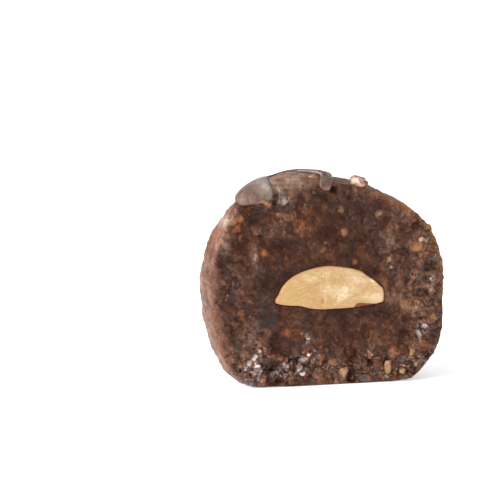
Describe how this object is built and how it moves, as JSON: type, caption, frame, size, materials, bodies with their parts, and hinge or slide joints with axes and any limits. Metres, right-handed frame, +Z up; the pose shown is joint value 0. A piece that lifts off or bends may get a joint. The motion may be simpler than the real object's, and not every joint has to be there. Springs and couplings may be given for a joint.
{
  "type": "chocolate truffle",
  "caption": "Chocolate truffle cut open: a hand-rolled ball of dark cocoa paste with drizzled chocolate strands and a split almond showing in the cut; stands on a flat bottom.",
  "frame": {"origin": "on the table, under the middle of the piece's overall box", "axes": "+Z up; the cut face with the almond looks along -Y and is widest along X; the rolled outside is behind it, towards +Y"},
  "size_m": [0.0315, 0.0191, 0.0267],
  "materials": {
    "paste": "dark brown cocoa, nut and date paste: crumbly with moist glints on the cut, smooth and satin on the rolled outside",
    "drizzle": "set dark chocolate, smooth with a soft sheen",
    "almond": "pale cream cut face of a roasted almond, faintly fibrous and matt",
    "nut_chip": "small chopped nut pieces, pale to orange brown"
  },
  "bodies": {
    "root": {"truffle_paste": "paste", "almond_kernel": "almond"}
  },
  "joints": []
}
